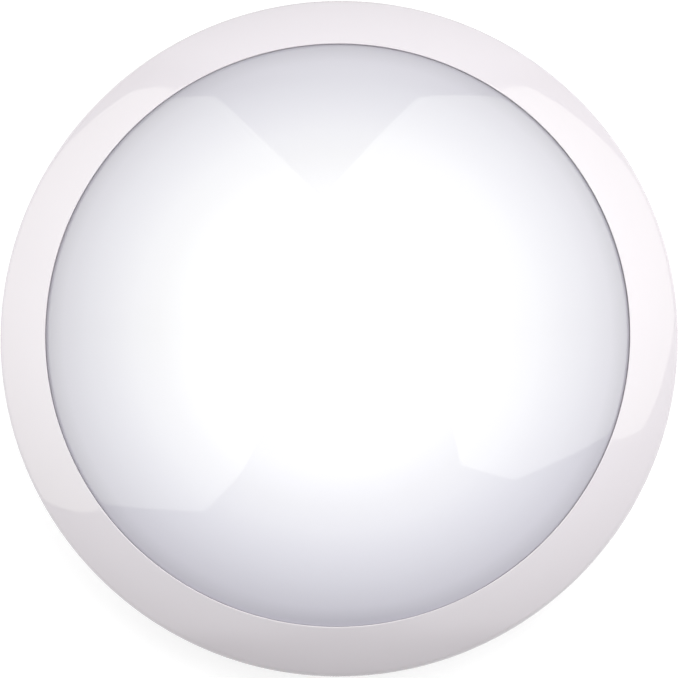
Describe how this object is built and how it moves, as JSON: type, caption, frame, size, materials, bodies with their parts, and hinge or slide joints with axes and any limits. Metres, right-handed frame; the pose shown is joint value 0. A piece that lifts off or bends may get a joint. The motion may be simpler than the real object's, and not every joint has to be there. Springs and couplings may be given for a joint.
{
  "type": "motion sensor ceiling light",
  "caption": "Round wall or ceiling light with an opal dome in a sloped trim ring, over a base with an LED board, driver, motion sensor and terminals.",
  "frame": {"origin": "centre of the flat mounting face at the back of the base", "axes": "+Z out of the mounting face, through the top of the dome; the terminal block lies towards -Y and the driver towards +Y"},
  "size_m": [0.33, 0.33, 0.078],
  "materials": {
    "white_polycarbonate": "gloss",
    "opal_diffuser": "gloss",
    "grey_foam": "matte",
    "grey_silicone": "satin",
    "black_rubber": "matte",
    "stainless_spring": "satin",
    "zinc_screws": "satin",
    "white_steel": "satin",
    "white_solder_mask": "satin",
    "led_frame": "gloss",
    "led_phosphor": "satin",
    "white_nylon": "satin",
    "driver_plastic": "matte",
    "sensor_plastic": "matte",
    "green_board": "satin",
    "amber_tape": "gloss",
    "black_sleeve": "gloss",
    "copper_antenna": "satin",
    "blue_relay": "satin",
    "dial_plastic": "satin",
    "clear_cell": "gloss",
    "red_lamp": "gloss",
    "grey_terminal": "satin",
    "tinned_clamps": "satin",
    "brown_button": "satin",
    "blue_button": "satin",
    "dark_button": "satin",
    "green_button": "satin",
    "brass_screw": "satin",
    "brown_sleeve": "satin",
    "blue_sleeve": "satin",
    "dark_sleeve": "satin",
    "green_yellow_sleeve": "satin",
    "red_sleeve": "satin"
  },
  "bodies": {
    "base": {"base_pan": "white_polycarbonate", "wall_gasket": "grey_foam", "rim_seal": "grey_silicone", "cable_grommet": "grey_silicone", "hole_washers": "grey_silicone", "entry_plugs": "white_polycarbonate", "entry_seals": "grey_silicone", "catch_springs": "stainless_spring", "catch_screws": "zinc_screws", "gear_tray": "white_steel", "tray_screws": "zinc_screws", "tray_bush": "black_rubber", "led_board": "white_solder_mask", "led_packages": "led_frame", "led_phosphors": "led_phosphor", "board_screws": "zinc_screws", "led_connector": "white_nylon", "driver_case": "driver_plastic", "driver_lid": "driver_plastic", "driver_board": "green_board", "driver_transformer": "amber_tape", "driver_capacitors": "black_sleeve", "driver_screws": "zinc_screws", "sensor_case": "sensor_plastic", "sensor_cover": "sensor_plastic", "sensor_board": "green_board", "sensor_antenna": "copper_antenna", "sensor_relay": "blue_relay", "sensor_controls": "blue_relay", "light_cell": "clear_cell", "status_lamp": "red_lamp", "sensor_screws": "zinc_screws", "terminal_block": "grey_terminal", "terminal_clamps": "tinned_clamps", "terminal_screws": "zinc_screws", "cable_clamp": "white_nylon", "clamp_screws": "zinc_screws", "earth_screw": "brass_screw", "earth_tag": "tinned_clamps", "live_lead": "brown_sleeve", "neutral_lead": "blue_sleeve", "switched_lead": "dark_sleeve", "driver_live_lead": "brown_sleeve", "driver_neutral_lead": "blue_sleeve", "earth_lead": "green_yellow_sleeve", "led_positive_lead": "red_sleeve", "led_negative_lead": "dark_sleeve", "lead_clips": "white_nylon"},
    "cover": {"diffuser": "opal_diffuser"},
    "ring": {"trim_ring": "white_polycarbonate"},
    "range_dial": {"range_dial": "dial_plastic"},
    "time_dial": {"time_dial": "dial_plastic"},
    "lux_dial": {"lux_dial": "dial_plastic"},
    "live_button": {"live_button": "brown_button"},
    "neutral_button": {"neutral_button": "blue_button"},
    "switched_button": {"switched_button": "dark_button"},
    "earth_button": {"earth_button": "green_button"}
  },
  "joints": [
    {"name": "cover_lift", "type": "slide", "parent": "base", "child": "cover", "axis": [0, 0, 1], "range_m": [0, 0.12], "deforming": ["catch_springs"]},
    {"name": "ring_turn", "type": "hinge", "parent": "cover", "child": "ring", "pos_m": [0, 0, 0.04], "axis": [0, 0, 1], "range_deg": [0, 15]},
    {"name": "range_dial_turn", "type": "hinge", "parent": "base", "child": "range_dial", "pos_m": [-0.015, -0.012, 0.044], "axis": [0, 0, 1], "range_deg": [-135, 135]},
    {"name": "time_dial_turn", "type": "hinge", "parent": "base", "child": "time_dial", "pos_m": [0, -0.012, 0.044], "axis": [0, 0, 1], "range_deg": [-135, 135]},
    {"name": "lux_dial_turn", "type": "hinge", "parent": "base", "child": "lux_dial", "pos_m": [0.015, -0.012, 0.044], "axis": [0, 0, 1], "range_deg": [-135, 135]},
    {"name": "live_button_press", "type": "slide", "parent": "base", "child": "live_button", "axis": [0, 0, -1], "range_m": [0, 0.002], "stiffness_N_per_m": 1500, "springref_m": -0.002},
    {"name": "neutral_button_press", "type": "slide", "parent": "base", "child": "neutral_button", "axis": [0, 0, -1], "range_m": [0, 0.002], "stiffness_N_per_m": 1500, "springref_m": -0.002},
    {"name": "switched_button_press", "type": "slide", "parent": "base", "child": "switched_button", "axis": [0, 0, -1], "range_m": [0, 0.002], "stiffness_N_per_m": 1500, "springref_m": -0.002},
    {"name": "earth_button_press", "type": "slide", "parent": "base", "child": "earth_button", "axis": [0, 0, -1], "range_m": [0, 0.002], "stiffness_N_per_m": 1500, "springref_m": -0.002}
  ]
}
